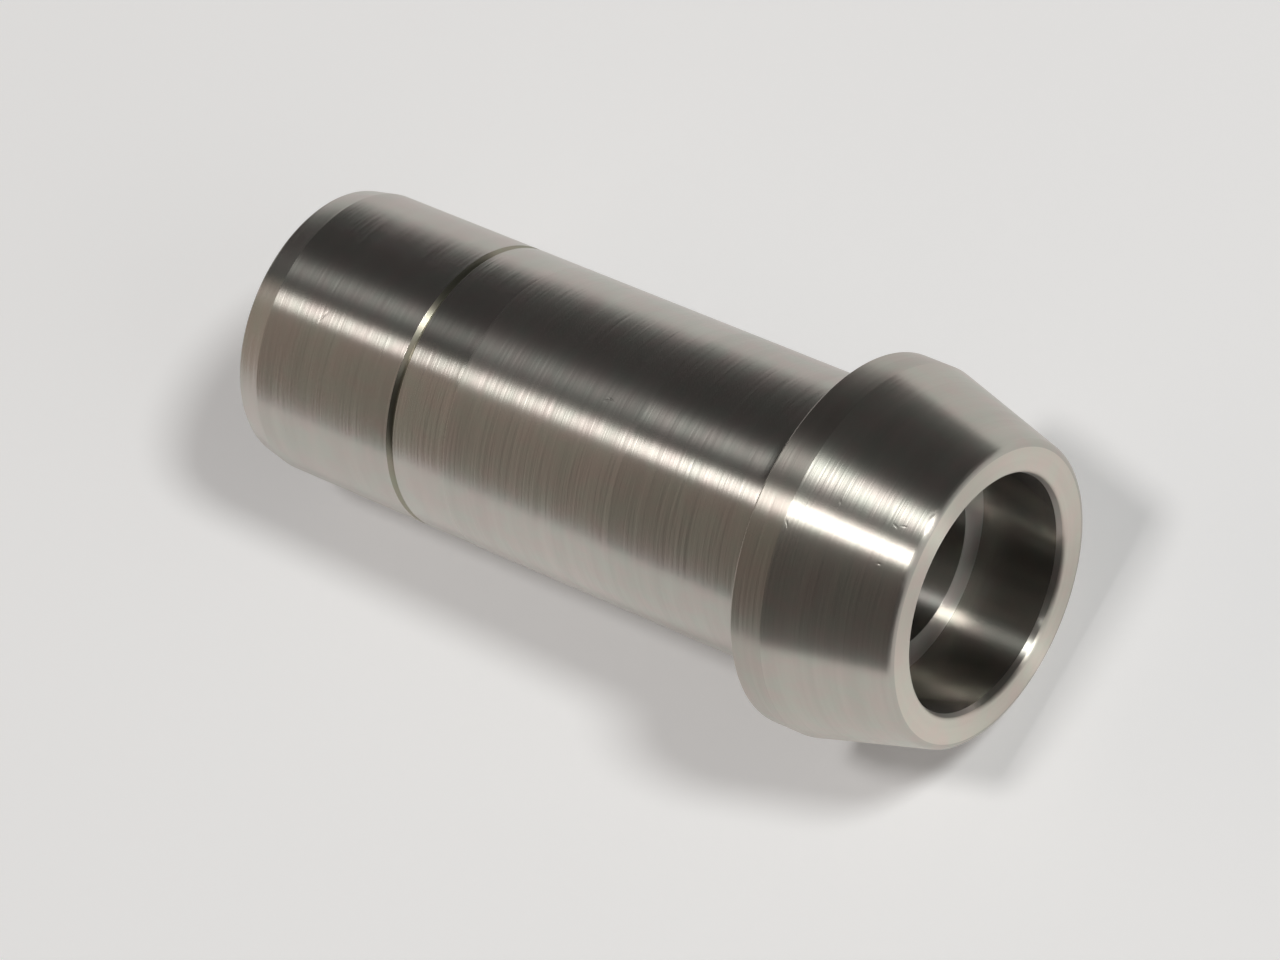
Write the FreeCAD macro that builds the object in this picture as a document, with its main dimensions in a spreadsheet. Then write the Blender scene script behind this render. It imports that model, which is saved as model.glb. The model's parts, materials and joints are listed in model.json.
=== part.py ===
"""Tube port connector for half inch tube, turned from one bar of stainless steel.

The axis of turning is Z. The part stands on the end of its tube stub, with the origin at the
middle of that end face, and the machined ferrule is at the top. Millimetres.
"""

import FreeCAD, Part
import os
import Sketcher

# The driving dimensions: the name of each, its value and what it measures.
SIZES = [
    ("tube_dia", 12.7, "outside of the tube stub and the body"),
    ("total_len", 35.3, "from the stub's end face to the nose face"),
    ("end_dia", 12.2, "stub's end face, at the foot of the lead-in taper"),
    ("lead_len", 1.25, "length of the lead-in taper"),
    ("end_round", 0.2, "round where the taper meets the end face"),
    ("line_pos", 8.7, "middle of the insertion line, from the stub's end face"),
    ("line_width", 0.36, "insertion line across its mouth"),
    ("line_depth", 0.18, "insertion line below the surface"),
    ("collar_dia", 16.3, "outside of the ferrule's collar"),
    ("collar_land", 1.6, "plain width of the collar, from its shoulder to the ridge"),
    ("collar_break", 0.12, "broken edge of the collar's shoulder"),
    ("root_round", 0.25, "round in the corner between body and shoulder"),
    ("nose_len", 5.46, "length of the ferrule's cone, from the ridge to the nose face"),
    ("nose_dia", 13.32, "where the cone would meet the nose face with no round"),
    ("nose_round", 0.31, "round between the cone and the nose face"),
    ("seat_dia", 10.42, "counterbore behind the mouth"),
    ("seat_depth", 4.08, "counterbore, from the nose face to its shoulder"),
    ("mouth_dia", 10.7, "counterbore's lead-in, at the nose face"),
    ("mouth_depth", 0.38, "length of that lead-in"),
    ("bore_dia", 7.92, "flow bore through the part"),
    ("bore_break", 0.35, "broken edge of the flow bore at the stub's end"),
]

# Lengths that differ by less than this are taken as the same.
CLOSE = 1e-6

doc = FreeCAD.newDocument("port_connector")
sheet = doc.addObject("Spreadsheet::Sheet", "Sizes")
for row, (name, value, note) in enumerate(SIZES, start=1):
    sheet.set(f"A{row}", note)
    sheet.set(f"B{row}", str(value))
    sheet.setAlias(f"B{row}", name)
doc.recompute()

body = doc.addObject("PartDesign::Body", "PortConnector")
body.Label = "port_connector"

# Each named corner of an outline, with its sketch and the line that starts there.
corners = {}


def half_section(name, places):
    """A closed outline beside the axis. Each corner is a name, a radius and a height.

    The corners start in a row, and their constraints then carry them to where the sheet says.
    """
    plane = next(item for item in body.Origin.OriginFeatures if item.Role == "XZ_Plane")
    sketch = body.newObject("Sketcher::SketchObject", name)
    sketch.AttachmentSupport = [(plane, "")]
    sketch.MapMode = "FlatFace"
    points = [FreeCAD.Vector(spot, spot, 0) for spot in range(1, len(places) + 1)]
    for here, there in zip(points, points[1:] + points[:1]):
        sketch.addGeometry(Part.LineSegment(here, there), False)
    for line in range(len(points)):
        follower = (line + 1) % len(points)
        sketch.addConstraint(Sketcher.Constraint("Coincident", line, 2, follower, 1))
    for line, (corner, radius, height) in enumerate(places):
        corners[corner] = (sketch, line)
        pin_down(sketch, line, "DistanceX", corner + "_radius", radius)
        pin_down(sketch, line, "DistanceY", corner + "_height", height)
    return sketch


def pin_down(sketch, line, direction, name, formula):
    """Binds the start of a line to the sheet in one direction, or lays it on the sketch's axis."""
    axis = {"DistanceX": -2, "DistanceY": -1}[direction]
    if formula == ON_AXIS:
        sketch.addConstraint(Sketcher.Constraint("PointOnObject", line, 1, axis))
        return
    start = line + 1
    sketch.addConstraint(Sketcher.Constraint(direction, -1, 1, line, 1, start))
    sketch.renameConstraint(sketch.ConstraintCount - 1, name)
    sketch.setExpression("Constraints." + name, formula)


def turned(kind, name, sketch):
    """A full turn of an outline about the axis: a Revolution adds metal, a Groove cuts it."""
    feature = body.newObject("PartDesign::" + kind, name)
    feature.Profile = sketch
    feature.ReferenceAxis = (sketch, ["V_Axis"])
    feature.Angle = 360
    doc.recompute()
    return feature


def round_edge(feature, corner):
    """The name of the edge that a corner of an outline has drawn on the turned feature."""
    sketch, line = corners[corner]
    place = sketch.getPoint(line, 1)
    for number, edge in enumerate(feature.Shape.Edges, start=1):
        curve = edge.Curve
        if not isinstance(curve, Part.Circle):
            continue
        if abs(curve.Radius - place.x) < CLOSE and abs(curve.Center.z - place.y) < CLOSE:
            return f"Edge{number}"
    raise ValueError(f"no round edge at the corner {corner}")


def edge_work(kind, name, base, corner, amount, cell):
    """A Fillet or a Chamfer on one round edge, its Radius or Size bound to a cell of the sheet."""
    edge = round_edge(base, corner)
    feature = body.newObject("PartDesign::" + kind, name)
    feature.Base = (base, [edge])
    feature.setExpression(amount, "Sizes." + cell)
    doc.recompute()
    return feature


ON_AXIS = ""
TUBE = "Sizes.tube_dia / 2"
COLLAR = "Sizes.collar_dia / 2"
BORE = "Sizes.bore_dia / 2"
SEAT = "Sizes.seat_dia / 2"
TOP = "Sizes.total_len"
RIDGE = "Sizes.total_len - Sizes.nose_len"
SHOULDER = "Sizes.total_len - Sizes.nose_len - Sizes.collar_land"
SEAT_FLOOR = "Sizes.total_len - Sizes.seat_depth"

# The turned blank: stub with its lead-in taper, body, square shoulder, collar and ferrule cone.
blank = turned("Revolution", "Blank", half_section("BlankOutline", [
    ("foot_middle", ON_AXIS, ON_AXIS),
    ("foot_rim", "Sizes.end_dia / 2", ON_AXIS),
    ("lead_top", TUBE, "Sizes.lead_len"),
    ("root", TUBE, SHOULDER),
    ("shoulder_rim", COLLAR, SHOULDER),
    ("ridge", COLLAR, RIDGE),
    ("nose_rim", "Sizes.nose_dia / 2", TOP),
    ("nose_middle", ON_AXIS, TOP),
]))

# The flow bore goes right through. The counterbore behind the mouth ends at a flat shoulder.
flow_bore = turned("Groove", "FlowBore", half_section("FlowBoreOutline", [
    ("bore_foot_middle", ON_AXIS, ON_AXIS),
    ("bore_foot", BORE, ON_AXIS),
    ("bore_top", BORE, TOP),
    ("bore_top_middle", ON_AXIS, TOP),
]))
seat = turned("Groove", "Seat", half_section("SeatOutline", [
    ("floor_middle", ON_AXIS, SEAT_FLOOR),
    ("floor_rim", SEAT, SEAT_FLOOR),
    ("lead_in_foot", SEAT, "Sizes.total_len - Sizes.mouth_depth"),
    ("lead_in_rim", "Sizes.mouth_dia / 2", TOP),
    ("mouth_middle", ON_AXIS, TOP),
]))

# The insertion line is a V. The tool is twice as large as the cut, so its flanks come out clean.
insertion_line = turned("Groove", "InsertionLine", half_section("InsertionLineOutline", [
    ("line_bottom", "Sizes.tube_dia / 2 - Sizes.line_depth", "Sizes.line_pos"),
    ("line_above", "Sizes.tube_dia / 2 + Sizes.line_depth", "Sizes.line_pos + Sizes.line_width"),
    ("line_below", "Sizes.tube_dia / 2 + Sizes.line_depth", "Sizes.line_pos - Sizes.line_width"),
]))

# The edges, rounded or broken last.
nose_round = edge_work("Fillet", "NoseRound", insertion_line, "nose_rim", "Radius", "nose_round")
end_round = edge_work("Fillet", "EndRound", nose_round, "foot_rim", "Radius", "end_round")
root_round = edge_work("Fillet", "RootRound", end_round, "root", "Radius", "root_round")
collar_break = edge_work("Chamfer", "CollarBreak", root_round, "shoulder_rim", "Size", "collar_break")
bore_break = edge_work("Chamfer", "BoreBreak", collar_break, "bore_foot", "Size", "bore_break")
body.Tip = bore_break
doc.recompute()

failed = [item.Name for item in doc.Objects if {"Invalid", "Error"} & set(item.State)]
if failed:
    raise RuntimeError("features that failed: " + ", ".join(failed))
solid = body.Shape
if solid.isNull() or not solid.isValid() or len(solid.Solids) != 1:
    raise RuntimeError("the body isn't one valid solid")

os.makedirs("parts", exist_ok=True)
solid.exportStep("parts/" + body.Label + ".step")
box = solid.BoundBox
print(f"{body.Label}: {box.XLength:.3f} x {box.YLength:.3f} x {box.ZLength:.3f} mm,"
      f" {solid.Volume:.1f} cubic mm")
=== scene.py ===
"""A half inch tube port connector, turned from stainless bar, lying on a pale table.

The connector stands on the end of its stub with its axis along Z, so the table beside it is nearly
upright, and the camera is rolled until the connector lies down in the picture. Metres.
"""

import json
import math

import bpy
from mathutils import Matrix, Vector


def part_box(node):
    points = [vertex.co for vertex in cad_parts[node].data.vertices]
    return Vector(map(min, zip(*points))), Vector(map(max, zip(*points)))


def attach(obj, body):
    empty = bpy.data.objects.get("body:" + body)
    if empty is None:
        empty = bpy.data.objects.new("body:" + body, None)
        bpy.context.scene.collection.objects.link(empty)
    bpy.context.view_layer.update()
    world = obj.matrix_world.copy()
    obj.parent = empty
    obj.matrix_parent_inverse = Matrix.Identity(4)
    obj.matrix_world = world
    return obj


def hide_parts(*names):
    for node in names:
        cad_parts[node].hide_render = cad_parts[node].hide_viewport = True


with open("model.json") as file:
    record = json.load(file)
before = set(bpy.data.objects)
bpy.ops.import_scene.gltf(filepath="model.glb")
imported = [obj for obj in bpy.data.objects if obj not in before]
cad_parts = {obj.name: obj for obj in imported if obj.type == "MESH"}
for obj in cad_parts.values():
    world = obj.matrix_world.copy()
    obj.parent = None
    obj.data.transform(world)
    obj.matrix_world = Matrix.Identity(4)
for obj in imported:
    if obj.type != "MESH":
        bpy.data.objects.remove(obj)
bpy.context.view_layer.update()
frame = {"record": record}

# The turned connector, one piece of stainless steel: a plain stub with a lead-in taper and an
# insertion line, a square-shouldered collar, and a coned ferrule with a counterbored mouth. Its
# outline is turned about the axis, and every corner has the small round that tools and hands leave.
mm = 0.001
mounts = {mount["name"]: mount for mount in frame["record"]["mounts"]}
_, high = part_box("port_connector")
length = high.z
collar_radius = high.x
tube_radius = mounts["stub"]["dims"]["r_mm"] * mm
bore_radius = mounts["flow_bore"]["dims"]["r_mm"] * mm
seat_radius = mounts["ferrule_seat"]["dims"]["r_mm"] * mm
shoulder_height = mounts["nut_shoulder"]["pos_m"][2]
seat_middle = mounts["ferrule_seat"]["pos_m"][2]
seat_run = mounts["ferrule_seat"]["dims"]["length_mm"] * mm
seat_floor = seat_middle - seat_run / 2
lead_in_foot = seat_middle + seat_run / 2

end_radius = 6.1 * mm
lead_length = 1.25 * mm
line_height = 8.7 * mm
line_half_width = 0.18 * mm
line_depth = 0.18 * mm
band_foot = 11.6 * mm
band_top = 20.5 * mm
collar_break = 0.12 * mm
ridge_height = length - 5.46 * mm
nose_radius = 6.66 * mm
mouth_radius = 5.35 * mm
bore_break = 0.35 * mm

# The rounds, from the keenest edge to the widest, and none where only the finish changes.
keen = 0.006 * mm
crisp = 0.02 * mm
worn = 0.05 * mm
end_round = 0.2 * mm
root_round = 0.25 * mm
nose_round = 0.31 * mm
mouth_round = 0.22 * mm
straight = 0

# Each corner of the outline: its radius, its height, how much it is rounded, and the finish of the
# face that starts there. The round itself keeps the finish of the face before it.
outline = [
    (bore_radius + bore_break, 0.0, crisp, "turned"),
    (end_radius, 0.0, end_round, "tapered"),
    (tube_radius, lead_length, worn, "turned"),
    (tube_radius, line_height - line_half_width, crisp, "grooved_dirt_and_shade"),
    (tube_radius - line_depth, line_height, crisp, "grooved_dirt_and_shade"),
    (tube_radius, line_height + line_half_width, crisp, "turned"),
    (tube_radius, band_foot, straight, "dulled"),
    (tube_radius, band_top, straight, "bright"),
    (tube_radius, shoulder_height, root_round, "collar"),
    (collar_radius - collar_break, shoulder_height, crisp, "collar"),
    (collar_radius, shoulder_height + collar_break, crisp, "collar"),
    (collar_radius, ridge_height, worn, "coned"),
    (nose_radius, length, nose_round, "faced_painted_sheen"),
    (mouth_radius, length, mouth_round, "bright"),
    (seat_radius, lead_in_foot, crisp, "bored_painted_shade"),
    (seat_radius, seat_floor, keen, "seated_painted_sheen"),
    (bore_radius, seat_floor, keen, "drilled"),
    (bore_radius, bore_break, crisp, "drilled"),
]
finishes = ["tapered", "turned", "grooved_dirt_and_shade", "dulled", "bright", "collar", "coned", "faced_painted_sheen", "bored_painted_shade",
            "seated_painted_sheen", "drilled"]


def rounded(before, corner, after, radius, steps=6):
    """The points of an arc at a corner, and the outward direction of the metal's face at each."""
    arrive = (corner - before).normalized()
    leave = (after - corner).normalized()
    if radius == straight:
        return [(corner, Vector((leave.y, -leave.x)))]
    half_turn = arrive.angle(leave) / 2
    start = corner - arrive * radius * math.tan(half_turn)
    turn = math.copysign(1, arrive.cross(leave))
    centre = start + Vector((-arrive.y, arrive.x)) * radius * turn
    points = []
    for step in range(steps + 1):
        spoke = Matrix.Rotation(turn * half_turn * 2 * step / steps, 2) @ (start - centre)
        points.append((centre + spoke, spoke.normalized() * turn))
    return points


def lathe(name, corners, around=288):
    """A closed outline turned about Z, with the true direction of the face at every vertex."""
    places = [Vector((radius, height)) for radius, height, _, _ in corners]
    profile, strips = [], []
    for spot, (_, _, radius, finish) in enumerate(corners):
        arc = rounded(places[spot - 1], places[spot], places[(spot + 1) % len(places)], radius)
        profile += arc
        strips += [finishes.index(corners[spot - 1][3])] * (len(arc) - 1)
        strips.append(finishes.index(finish))
    vertices, faces, directions = [], [], []
    count = len(profile)
    for ray in range(around):
        angle = 2 * math.pi * ray / around
        across = Vector((math.cos(angle), math.sin(angle), 0))
        for point, face in profile:
            vertices.append(across * point.x + Vector((0, 0, point.y)))
            directions.append(across * face.x + Vector((0, 0, face.y)))
        for spot in range(count):
            here, above = ray * count + spot, ray * count + (spot + 1) % count
            step = count * around
            faces.append((here, (here + count) % step, (above + count) % step, above))
    mesh = bpy.data.meshes.new(name)
    mesh.from_pydata(vertices, [], faces)
    mesh.polygons.foreach_set("use_smooth", [True] * len(faces))
    mesh.polygons.foreach_set("material_index", strips * around)
    mesh.normals_split_custom_set_from_vertices(directions)
    piece = bpy.data.objects.new(name, mesh)
    bpy.context.scene.collection.objects.link(piece)
    return piece


connector = lathe("turned_connector", outline)

# The steel's surface. The tool leaves fine lines round the part, so light spreads along the axis
# and hardly round it. Where the lines run deeper or duller the streaks break up a little.


def add_node(tree, kind, values=None, **settings):
    """A node of a kind, with its settings, and with values for its inputs by name or number."""
    node = tree.nodes.new("ShaderNode" + kind)
    for key, setting in settings.items():
        setattr(node, key, setting)
    for key, value in (values or {}).items():
        node.inputs[key].default_value = value
    return node


def calculate(tree, operation, *operands):
    """A Math node, whose operands are numbers or the outputs of other nodes."""
    node = add_node(tree, "Math", operation=operation)
    for number, operand in enumerate(operands):
        if hasattr(operand, "links"):
            tree.links.new(operand, node.inputs[number])
        else:
            node.inputs[number].default_value = operand
    return node.outputs[0]


def turning_lines():
    """A node group: a noise drawn out round the axis, as the lines that a turning tool leaves."""
    tree = bpy.data.node_groups.new("turning lines", "ShaderNodeTree")
    face = tree.interface
    per_mm = face.new_socket("Lines per mm", in_out="INPUT", socket_type="NodeSocketFloat")
    per_mm.default_value = 4
    wander = face.new_socket("Wander", in_out="INPUT", socket_type="NodeSocketFloat")
    wander.default_value = 1
    face.new_socket("Height", in_out="OUTPUT", socket_type="NodeSocketFloat")
    given = tree.nodes.new("NodeGroupInput")
    result = tree.nodes.new("NodeGroupOutput")
    place = add_node(tree, "TexCoord").outputs["Object"]
    flat = add_node(tree, "VectorMath", {1: (1, 1, 0)}, operation="MULTIPLY")
    tree.links.new(place, flat.inputs[0])
    reach = add_node(tree, "VectorMath", operation="LENGTH")
    tree.links.new(flat.outputs[0], reach.inputs[0])
    round_about = add_node(tree, "VectorMath", operation="NORMALIZE")
    tree.links.new(flat.outputs[0], round_about.inputs[0])
    drift = add_node(tree, "VectorMath", operation="SCALE")
    tree.links.new(round_about.outputs[0], drift.inputs[0])
    tree.links.new(given.outputs["Wander"], drift.inputs["Scale"])
    height = add_node(tree, "SeparateXYZ")
    tree.links.new(place, height.inputs[0])
    travel = calculate(tree, "SUBTRACT", height.outputs["Z"], reach.outputs["Value"])
    in_lines = calculate(tree, "MULTIPLY", travel, 1 / mm)
    in_lines = calculate(tree, "MULTIPLY", in_lines, given.outputs["Lines per mm"])
    along = add_node(tree, "CombineXYZ")
    tree.links.new(in_lines, along.inputs["Z"])
    joined = add_node(tree, "VectorMath", operation="ADD")
    tree.links.new(drift.outputs[0], joined.inputs[0])
    tree.links.new(along.outputs[0], joined.inputs[1])
    noise = add_node(tree, "TexNoise", {"Scale": 1, "Detail": 2, "Roughness": 0.6})
    tree.links.new(joined.outputs[0], noise.inputs["Vector"])
    tree.links.new(noise.outputs[0], result.inputs["Height"])
    return tree


# How dull each stretch is, by height: the stub, a crisp band beyond the insertion line, the body,
# which tools and hands have dulled again, and the ferrule, whose wider streaks are the dullest.
dull_stretches = [
    (0 * mm, 0.6), (line_height - 0.4 * mm, 0.6), (line_height + 0.3 * mm, 0.1), (band_foot, 0.1),
    (band_foot + 0.1 * mm, 0.6), (shoulder_height - 0.1 * mm, 0.55), (shoulder_height, 1),
]


def dull_bands():
    """A node group: how dull the steel is at each height, from 0 to 1."""
    tree = bpy.data.node_groups.new("dull bands", "ShaderNodeTree")
    tree.interface.new_socket("Dullness", in_out="OUTPUT", socket_type="NodeSocketFloat")
    height = add_node(tree, "SeparateXYZ")
    tree.links.new(add_node(tree, "TexCoord").outputs["Object"], height.inputs[0])
    share = calculate(tree, "DIVIDE", height.outputs["Z"], length)
    ramp = add_node(tree, "ValToRGB")
    stops = ramp.color_ramp.elements
    while len(stops) < len(dull_stretches):
        stops.new(1)
    for stop, (place, dullness) in zip(stops, dull_stretches):
        stop.position = place / length
        stop.color = (dullness, dullness, dullness, 1)
    tree.links.new(share, ramp.inputs[0])
    result = tree.nodes.new("NodeGroupOutput")
    tree.links.new(ramp.outputs["Color"], result.inputs["Dullness"])
    return tree


# How fast a nick fades from its middle. At 4 it is almost gone at its stated length and width.
nick_fading = 4


def nick():
    """A node group: a short straight mark on the surface, 1 in its middle and 0 round it."""
    tree = bpy.data.node_groups.new("nick", "ShaderNodeTree")
    face = tree.interface
    for name, value in (("Azimuth", 0), ("Height mm", 0), ("Length mm", 1), ("Width mm", 0.1),
                        ("Slant", 0)):
        face.new_socket(name, in_out="INPUT", socket_type="NodeSocketFloat").default_value = value
    face.new_socket("Mask", in_out="OUTPUT", socket_type="NodeSocketFloat")
    given = tree.nodes.new("NodeGroupInput")
    place = add_node(tree, "SeparateXYZ")
    tree.links.new(add_node(tree, "TexCoord").outputs["Object"], place.inputs[0])
    backwards_y = calculate(tree, "MULTIPLY", place.outputs["Y"], -1)
    angle = calculate(tree, "ARCTAN2", place.outputs["X"], backwards_y)
    middle_angle = calculate(tree, "RADIANS", given.outputs["Azimuth"])
    turn = calculate(tree, "SUBTRACT", angle, middle_angle)
    across = calculate(tree, "MULTIPLY", turn, collar_radius / mm)
    up = calculate(tree, "MULTIPLY", place.outputs["Z"], 1 / mm)
    up = calculate(tree, "SUBTRACT", up, given.outputs["Height mm"])
    slant = calculate(tree, "RADIANS", given.outputs["Slant"])
    cosine, sine = calculate(tree, "COSINE", slant), calculate(tree, "SINE", slant)
    along = calculate(tree, "MULTIPLY", up, cosine)
    along = calculate(tree, "MULTIPLY_ADD", across, sine, along)
    sideways = calculate(tree, "MULTIPLY", across, cosine)
    lifted = calculate(tree, "MULTIPLY", up, sine)
    sideways = calculate(tree, "SUBTRACT", sideways, lifted)
    along = calculate(tree, "DIVIDE", along, given.outputs["Length mm"])
    sideways = calculate(tree, "DIVIDE", sideways, given.outputs["Width mm"])
    far_along = calculate(tree, "POWER", calculate(tree, "ABSOLUTE", along), 2)
    far_sideways = calculate(tree, "POWER", calculate(tree, "ABSOLUTE", sideways), 2)
    far = calculate(tree, "MULTIPLY", calculate(tree, "ADD", far_along, far_sideways), -nick_fading)
    result = tree.nodes.new("NodeGroupOutput")
    tree.links.new(calculate(tree, "EXPONENT", far), result.inputs["Mask"])
    return tree


lines_group = turning_lines()
bands_group = dull_bands()
nick_group = nick()

# The small marks that wear has left: azimuth, height in mm, length, width and slant in degrees.
nicks = [
    (58.2, 3.9, 0.55, 0.12, -69),
    (45.5, 18.75, 0.3, 0.1, 20),
    (46.5, 18.6, 0.25, 0.1, -40),
    (50.5, 31.6, 0.2, 0.1, 70),
    (50, 34.0, 0.22, 0.1, 30),
    (49, 34.3, 0.2, 0.08, -20),
    (63.5, 34.0, 0.16, 0.1, 0),
    (66, 35.1, 0.2, 0.12, 60),
    (41, 35.05, 0.5, 0.12, -80),
    (62.5, 30.0, 0.3, 0.08, 60),
    (80, 32.2, 0.8, 0.05, 86),
    (84, 31.4, 0.6, 0.05, 88),
]


# What all faces share: how close the fine and the broad lines lie and how far they wander, how dark
# the broad ones are, how much the fine ones dull, and the faint warm and green stains between them.
fine_lines = {"Lines per mm": 5.5, "Wander": 1.2}
broad_lines = {"Lines per mm": 1.5, "Wander": 0.6}
broad_line_shade = 0.84
fine_line_dullness = 0.4
dullest = 1.2
brighter, duller = 0.85, 1.15
stain_scale = 0.9 / mm
stains = [(0.35, (1, 0.955, 0.93, 1)), (0.65, (0.95, 1, 0.95, 1))]


def turned_steel(name, colour, roughness, anisotropy, line_relief):
    """Stainless steel with the tool's fine lines and duller bands, in the colour it is given, which on
    some faces is darkened as painted shade and on others paled as a painted sheen.
    """
    steel = bpy.data.materials.new(name)
    steel.use_nodes = True
    tree = steel.node_tree
    shader = tree.nodes["Principled BSDF"]
    shader.inputs["Metallic"].default_value = 1
    shader.inputs["Anisotropic"].default_value = anisotropy
    shader.inputs["Anisotropic Rotation"].default_value = 0.25
    tangent = add_node(tree, "Tangent", direction_type="RADIAL", axis="Z")
    tree.links.new(tangent.outputs[0], shader.inputs["Tangent"])

    fine = add_node(tree, "Group", fine_lines, node_tree=lines_group)
    broad = add_node(tree, "Group", broad_lines, node_tree=lines_group)

    dark_colour = [shade * broad_line_shade for shade in colour]
    tone = add_node(tree, "MixRGB", {"Color1": (*colour, 1), "Color2": (*dark_colour, 1)})
    tree.links.new(broad.outputs[0], tone.inputs[0])
    stain = add_node(tree, "TexNoise", {"Scale": stain_scale, "Detail": 3})
    tree.links.new(add_node(tree, "TexCoord").outputs["Object"], stain.inputs["Vector"])
    tint = add_node(tree, "ValToRGB")
    for stop, (place, shade) in zip(tint.color_ramp.elements, stains):
        stop.position = place
        stop.color = shade
    tree.links.new(stain.outputs[0], tint.inputs[0])
    stained = add_node(tree, "MixRGB", {"Fac": 1}, blend_type="MULTIPLY")
    tree.links.new(tone.outputs[0], stained.inputs["Color1"])
    tree.links.new(tint.outputs["Color"], stained.inputs["Color2"])
    tree.links.new(stained.outputs[0], shader.inputs["Base Color"])

    dullness = add_node(tree, "Group", node_tree=bands_group).outputs[0]
    line_dullness = calculate(tree, "MULTIPLY_ADD", fine.outputs[0], fine_line_dullness, dullness)
    dull = add_node(tree, "MapRange", {"From Min": 0, "From Max": dullest,
                                       "To Min": roughness * brighter, "To Max": roughness * duller})
    tree.links.new(line_dullness, dull.inputs["Value"])
    tree.links.new(dull.outputs[0], shader.inputs["Roughness"])

    broad_relief = add_node(tree, "Bump", {"Strength": 1, "Distance": line_relief * 1.5})
    tree.links.new(broad.outputs[0], broad_relief.inputs["Height"])
    relief = add_node(tree, "Bump", {"Strength": 1, "Distance": line_relief})
    tree.links.new(fine.outputs[0], relief.inputs["Height"])
    tree.links.new(broad_relief.outputs[0], relief.inputs["Normal"])
    tree.links.new(relief.outputs[0], shader.inputs["Normal"])
    return steel


def add_nicks(steel, marks, depth):
    """Puts small dents into a steel that turned_steel made."""
    tree = steel.node_tree
    shader = tree.nodes["Principled BSDF"]
    total = 0
    for azimuth, height, long, wide, slant in marks:
        mark = add_node(tree, "Group", {"Azimuth": azimuth, "Height mm": height, "Length mm": long,
                                        "Width mm": wide, "Slant": slant}, node_tree=nick_group)
        total = calculate(tree, "ADD", mark.outputs[0], total)
    smooth_normal = shader.inputs["Normal"].links[0].from_socket
    dent = add_node(tree, "Bump", {"Strength": 1, "Distance": depth}, invert=True)
    tree.links.new(total, dent.inputs["Height"])
    tree.links.new(smooth_normal, dent.inputs["Normal"])
    tree.links.new(dent.outputs[0], shader.inputs["Normal"])


# Each face's own steel: its colour, roughness, how far light spreads along it, and line height.
# Some colours hold painted light: the groove is darker for dirt and painted shade, the counterbore
# wall is darker for painted shade, and the nose face and the seat's shoulder are paler for a painted
# sheen.
steels = {
    "tapered": turned_steel("tapered stainless", (0.59, 0.555, 0.53), 0.242, 0.93, 0.012 * mm),
    "turned": turned_steel("turned stainless", (0.59, 0.555, 0.53), 0.255, 1, 0.013 * mm),
    # The insertion line's groove is darker and yellower than the other steel: dirt in it and painted
    # shade.
    "grooved_dirt_and_shade": turned_steel("grooved stainless", (0.38, 0.36, 0.3), 0.33, 0.88, 0.002 * mm),
    "dulled": turned_steel("dulled stainless", (0.6, 0.565, 0.54), 0.275, 0.96, 0.012 * mm),
    "bright": turned_steel("bright stainless", (0.58, 0.548, 0.522), 0.28, 1, 0.013 * mm),
    "collar": turned_steel("collar stainless", (0.54, 0.502, 0.47), 0.281, 1, 0.014 * mm),
    "coned": turned_steel("coned stainless", (0.6, 0.564, 0.53), 0.285, 0.993, 0.014 * mm),
    # The nose face is paler than the other steel: a painted sheen, so that it mirrors the table
    # brighter.
    "faced_painted_sheen": turned_steel("faced stainless", (0.78, 0.72, 0.665), 0.36, 0.9, 0.003 * mm),
    # The counterbore wall is darker than the other steel: painted shade inside the mouth.
    "bored_painted_shade": turned_steel("bored stainless", (0.38, 0.36, 0.34), 0.235, 1, 0.002 * mm),
    # The seat's shoulder is much paler than the other steel: a painted sheen that lights the crescent
    # it mirrors.
    "seated_painted_sheen": turned_steel("seated stainless", (0.9, 0.85, 0.83), 0.3, 0.98, 0.002 * mm),
    "drilled": turned_steel("drilled stainless", (0.62, 0.6, 0.58), 0.26, 1, 0.003 * mm),
}
add_nicks(steels["turned"], nicks[:1], 0.008 * mm)
add_nicks(steels["dulled"], nicks[1:3], 0.005 * mm)
add_nicks(steels["coned"], nicks[3:], 0.0025 * mm)
for finish in finishes:
    connector.data.materials.append(steels[finish])
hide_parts("port_connector")
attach(connector, "root")

# The table, a large plain pale sheet. The connector lies on it on the corner of its collar and the
# top of its lead-in taper. Its back can be seen through, so the part can be looked at from there.
table_azimuth = math.radians(45)
table_tilt = math.atan2(collar_radius - tube_radius, shoulder_height + collar_break - lead_length)
table_up = Vector((math.sin(table_azimuth) * math.cos(table_tilt),
                   -math.cos(table_azimuth) * math.cos(table_tilt), math.sin(table_tilt)))
rest_depth = tube_radius * math.cos(table_tilt) - lead_length * math.sin(table_tilt)
table_reach = 0.6
rim_points = 96

table_mesh = bpy.data.meshes.new("table")
table_mesh.from_pydata(
    [(table_reach * math.cos(2 * math.pi * spot / rim_points),
      table_reach * math.sin(2 * math.pi * spot / rim_points), 0) for spot in range(rim_points)],
    [], [tuple(range(rim_points))])
table = bpy.data.objects.new("table", table_mesh)
table.rotation_euler = table_up.to_track_quat("Z", "Y").to_euler()
table.location = Vector((0, 0, length / 2)) - table_up * (rest_depth + table_up.z * length / 2)
bpy.context.scene.collection.objects.link(table)

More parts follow.
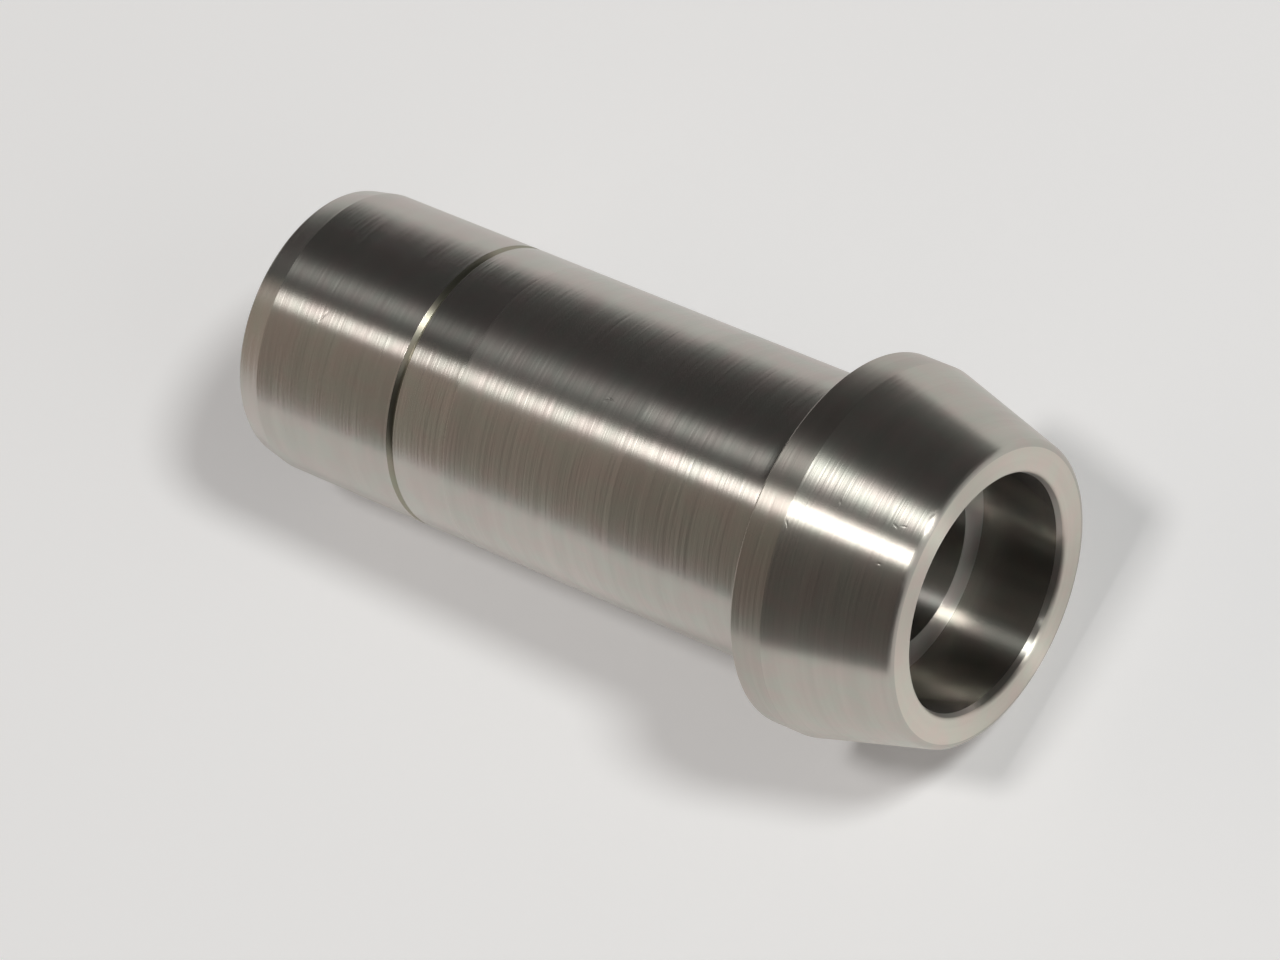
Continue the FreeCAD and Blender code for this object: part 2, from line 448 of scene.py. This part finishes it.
table_paint = bpy.data.materials.new("table")
table_paint.use_nodes = True
tree = table_paint.node_tree
shader = tree.nodes["Principled BSDF"]
shader.inputs["Base Color"].default_value = (0.963, 0.955, 0.963, 1)
shader.inputs["Emission Color"].default_value = (1, 0.99, 0.98, 1)
shader.inputs["Emission Strength"].default_value = 0.104
shader.inputs["Roughness"].default_value = 0.9
shader.inputs["Specular IOR Level"].default_value = 0.1
side = add_node(tree, "NewGeometry").outputs["Backfacing"]
clear = add_node(tree, "BsdfTransparent")
one_sided = add_node(tree, "MixShader")
tree.links.new(side, one_sided.inputs[0])
tree.links.new(shader.outputs[0], one_sided.inputs[1])
tree.links.new(clear.outputs[0], one_sided.inputs[2])
tree.links.new(one_sided.outputs[0], tree.nodes["Material Output"].inputs["Surface"])
table.data.materials.append(table_paint)

# The room: dim all round, two small ceiling lamps that draw the bright streaks on the steel, and a
# broad soft light beyond the nose. A brown card below warms the side of the steel that mirrors it.


def towards(azimuth, elevation):
    """A direction from the part, by degrees round its axis from -Y towards +X, and degrees up."""
    azimuth, elevation = math.radians(azimuth), math.radians(elevation)
    return Vector((math.sin(azimuth) * math.cos(elevation),
                   -math.cos(azimuth) * math.cos(elevation), math.sin(elevation)))


middle = Vector((0, 0, length / 2))


def lamp(name, azimuth, elevation, distance, width, power, colour):
    """A round soft lamp that faces the part."""
    light = bpy.data.lights.new(name, "AREA")
    light.shape = "DISK"
    light.size = width
    light.energy = power
    light.color = colour
    light_object = bpy.data.objects.new(name, light)
    light_object.location = middle + towards(azimuth, elevation) * distance
    light_object.rotation_euler = towards(azimuth, elevation).to_track_quat("Z", "Y").to_euler()
    light_object.visible_camera = False
    bpy.context.scene.collection.objects.link(light_object)


def card(name, azimuth, elevation, distance, width, height, colour):
    """A flat glowing card that faces the part."""
    mesh = bpy.data.meshes.new(name)
    half_width, half_height = width / 2, height / 2
    mesh.from_pydata([(-half_width, -half_height, 0), (half_width, -half_height, 0),
                      (half_width, half_height, 0), (-half_width, half_height, 0)], [], [(0, 1, 2, 3)])
    piece = bpy.data.objects.new(name, mesh)
    piece.location = middle + towards(azimuth, elevation) * distance
    piece.rotation_euler = (-towards(azimuth, elevation)).to_track_quat("Z", "Y").to_euler()
    bpy.context.scene.collection.objects.link(piece)
    paint = bpy.data.materials.new(name)
    paint.use_nodes = True
    paint.node_tree.nodes.clear()
    glow = add_node(paint.node_tree, "Emission", {"Color": (*colour, 1), "Strength": 1})
    surface = add_node(paint.node_tree, "OutputMaterial")
    paint.node_tree.links.new(glow.outputs[0], surface.inputs["Surface"])
    mesh.materials.append(paint)


# Azimuth and elevation in degrees, distance and width in metres, watts and colour. The card has a
# height and no watts.
lamp("ceiling_lamp_near", 56.5, -1.5, 0.9, 0.17, 2.03, (1, 0.985, 0.96))
lamp("ceiling_lamp_far", 29, 36, 0.9, 0.17, 2.95, (0.98, 1, 0.98))
lamp("broad_light", 44, 64, 0.9, 0.6, 0.6, (1, 1, 1))
card("brown_card", 105, -50, 0.5, 0.72, 0.46, (0.42, 0.37, 0.315))

world = bpy.data.worlds.new("room")
world.use_nodes = True
world.node_tree.nodes["Background"].inputs["Color"].default_value = (0.06, 0.058, 0.058, 1)
bpy.context.scene.world = world

# The photograph's view. The camera is about 0.28 m away with a long lens, and it is rolled so that
# the stub points up and to the left.
aim = Vector((0.56, 0.94, 17.68)) * mm
camera_azimuth = 59.24
camera_elevation = 32.25
camera_distance = 279.8 * mm
camera_roll = math.radians(112.63)
lens_length = 187.27

camera_data = bpy.data.cameras.new("camera")
camera_data.lens = lens_length
camera_data.clip_start = 0.01
camera_data.clip_end = 5
camera = bpy.data.objects.new("camera", camera_data)
backwards = towards(camera_azimuth, camera_elevation)
camera.location = aim + backwards * camera_distance
level = backwards.to_track_quat("Z", "Y").to_matrix()
camera.rotation_euler = (level @ Matrix.Rotation(camera_roll, 3, "Z")).to_euler()
bpy.context.scene.collection.objects.link(camera)
bpy.context.scene.camera = camera
bpy.context.scene.view_settings.view_transform = "Standard"
